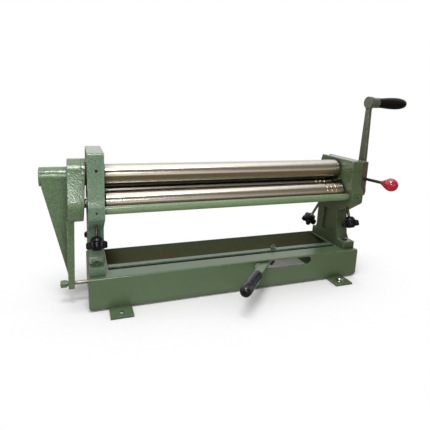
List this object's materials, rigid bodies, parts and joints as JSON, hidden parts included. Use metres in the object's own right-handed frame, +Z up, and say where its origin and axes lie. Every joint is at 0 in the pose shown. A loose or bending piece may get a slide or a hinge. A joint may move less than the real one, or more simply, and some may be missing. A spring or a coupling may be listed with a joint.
{
  "type": "plate rolling machine",
  "caption": "Hand-cranked bench slip roll with three steel rolls, star-knob adjusters, a base lever that lifts the top roll, and a hinged cap with a ball-handled lock.",
  "frame": {"origin": "On the bench, in the middle of the machine's footprint", "axes": "X along the rolls towards the crank, Y to the back, Z up"},
  "size_m": [0.936, 0.3514, 0.4809],
  "materials": {
    "sage_paint": "hammered gloss enamel, sage green",
    "dark_sage_paint": "gloss enamel over a casting, sage green",
    "polished_steel": "ground and polished steel",
    "machined_steel": "machined steel, lightly oiled",
    "bare_plate": "bare ground steel, brownish grey",
    "zinc": "bright zinc plate",
    "black_oxide": "black oxide",
    "bronze": "sintered bronze",
    "cast_block": "machined cast iron",
    "black_knob": "black phenolic",
    "black_grip": "smooth black plastic",
    "red_ball": "glossy red plastic"
  },
  "bodies": {
    "frame": {"base_frame": "sage_paint", "left_mounting_strap": "sage_paint", "right_mounting_strap": "sage_paint", "hold_down_washer": "zinc", "hold_down_bolt": "zinc", "lever_rail": "sage_paint", "left_end_frame": "sage_paint", "right_end_frame": "dark_sage_paint", "tie_bar": "sage_paint", "tie_bar_set_screws": "black_oxide", "foot_bolts": "black_oxide", "foot_nuts": "black_oxide", "tilt_pivot_pin": "machined_steel", "lever_pivot_bolt": "sage_paint", "lever_pivot_nut": "machined_steel", "cap_hinge_pin": "machined_steel", "catch_stud": "machined_steel"},
    "tilt_arm": {"tilt_arm": "sage_paint", "swivel_block": "machined_steel", "swivel_bush": "bronze", "arm_bush": "bronze", "end_bush": "bronze", "housing_screws": "black_oxide"},
    "top_roll": {"top_roll": "polished_steel", "top_roll_gear": "machined_steel"},
    "front_slide": {"front_left_bearing_block": "cast_block", "front_right_bearing_block": "cast_block", "front_roll_bushes": "bronze"},
    "front_roll": {"front_roll": "polished_steel", "front_roll_gear": "machined_steel", "front_roll_spacer": "machined_steel", "crank_arm": "sage_paint", "crank_set_screw": "black_oxide", "grip_spindle": "machined_steel"},
    "crank_grip": {"crank_grip": "black_grip"},
    "rear_slide": {"rear_left_bearing_block": "cast_block", "rear_right_bearing_block": "cast_block", "rear_roll_bushes": "bronze"},
    "rear_roll": {"rear_roll": "polished_steel"},
    "base_lever": {"base_lever": "sage_paint", "base_lever_grip": "black_grip", "link_pin": "machined_steel"},
    "pull_rod": {"pull_rod": "machined_steel", "pull_rod_nut": "sage_paint"},
    "journal_cap": {"journal_cap": "dark_sage_paint", "lock_pivot_screw": "machined_steel"},
    "lock_plate": {"lock_plate": "bare_plate", "lock_handle_rod": "black_oxide", "red_ball_knob": "red_ball"},
    "front_left_screw": {"front_left_adjusting_screw": "machined_steel", "front_left_star_knob": "black_knob"},
    "front_right_screw": {"front_right_adjusting_screw": "machined_steel", "front_right_star_knob": "black_knob"},
    "rear_left_screw": {"rear_left_adjusting_screw": "machined_steel", "rear_left_star_knob": "black_knob"},
    "rear_right_screw": {"rear_right_adjusting_screw": "machined_steel", "rear_right_star_knob": "black_knob"}
  },
  "joints": [
    {"name": "base_lever_swing", "type": "hinge", "parent": "frame", "child": "base_lever", "pos_m": [0.093, 0.0081, 0.0655], "axis": [0, 0, 1], "range_deg": [0, 85]},
    {"name": "roll_lift", "type": "hinge", "parent": "frame", "child": "tilt_arm", "pos_m": [-0.355, 0.0301, 0.306], "axis": [0, -1, 0], "range_deg": [0, 3]},
    {"name": "pull_rod_slide", "type": "slide", "parent": "frame", "child": "pull_rod", "axis": [1, 0, 0], "range_m": [0, 0.0136]},
    {"name": "cap_hinge", "type": "hinge", "parent": "frame", "child": "journal_cap", "pos_m": [0.298, 0.0871, 0.287], "axis": [-1, 0, 0], "range_deg": [0, 44]},
    {"name": "lock_hinge", "type": "hinge", "parent": "journal_cap", "child": "lock_plate", "pos_m": [0.322, -0.0199, 0.3005], "axis": [-1, 0, 0], "range_deg": [0, 60]},
    {"name": "top_roll_spin", "type": "hinge", "parent": "tilt_arm", "child": "top_roll", "pos_m": [-0.029, 0.0301, 0.2835], "axis": [1, 0, 0], "continuous": true},
    {"name": "front_adjust", "type": "slide", "parent": "frame", "child": "front_slide", "axis": [0, 0.4147, 0.91], "range_m": [0, 0.008]},
    {"name": "crank_spin", "type": "hinge", "parent": "front_slide", "child": "front_roll", "pos_m": [-0.029, 0.0046, 0.22754], "axis": [1, 0, 0], "continuous": true},
    {"name": "crank_grip_spin", "type": "hinge", "parent": "front_roll", "child": "crank_grip", "pos_m": [0.421, 0.0046, 0.46494], "axis": [1, 0, 0], "continuous": true},
    {"name": "rear_adjust", "type": "slide", "parent": "frame", "child": "rear_slide", "axis": [0, -0.5519, 0.8339], "range_m": [-0.025, 0.0015]},
    {"name": "rear_roll_spin", "type": "hinge", "parent": "rear_slide", "child": "rear_roll", "pos_m": [-0.029, 0.05908, 0.23972], "axis": [1, 0, 0], "continuous": true},
    {"name": "front_left_screw_turn", "type": "hinge", "parent": "front_slide", "child": "front_left_screw", "pos_m": [-0.356, -0.03169, 0.14792], "axis": [0, 0.4147, 0.91], "range_deg": [0, 1920.5]},
    {"name": "front_right_screw_turn", "type": "hinge", "parent": "front_slide", "child": "front_right_screw", "pos_m": [0.298, -0.03169, 0.14792], "axis": [0, 0.4147, 0.91], "range_deg": [0, 1920.5]},
    {"name": "rear_left_screw_turn", "type": "hinge", "parent": "rear_slide", "child": "rear_left_screw", "pos_m": [-0.356, 0.15042, 0.10171], "axis": [0, -0.5519, 0.8339], "range_deg": [-6000.5, 360.5]},
    {"name": "rear_right_screw_turn", "type": "hinge", "parent": "rear_slide", "child": "rear_right_screw", "pos_m": [0.298, 0.15042, 0.10171], "axis": [0, -0.5519, 0.8339], "range_deg": [-6000.5, 360.5]}
  ],
  "couplings": [
    {"joint": "roll_lift", "follows": "base_lever_swing", "ratio": 0.035294},
    {"joint": "pull_rod_slide", "follows": "base_lever_swing", "m_per_rad": 0.0091673},
    {"joint": "cap_hinge", "follows": "base_lever_swing", "ratio": 0.51765},
    {"joint": "lock_hinge", "follows": "base_lever_swing", "ratio": 0.70588},
    {"joint": "top_roll_spin", "follows": "crank_spin", "ratio": -1},
    {"joint": "front_left_screw_turn", "follows": "front_adjust", "rad_per_m": 4188.8},
    {"joint": "front_right_screw_turn", "follows": "front_adjust", "rad_per_m": 4188.8},
    {"joint": "rear_left_screw_turn", "follows": "rear_adjust", "rad_per_m": 4188.8},
    {"joint": "rear_right_screw_turn", "follows": "rear_adjust", "rad_per_m": 4188.8}
  ]
}
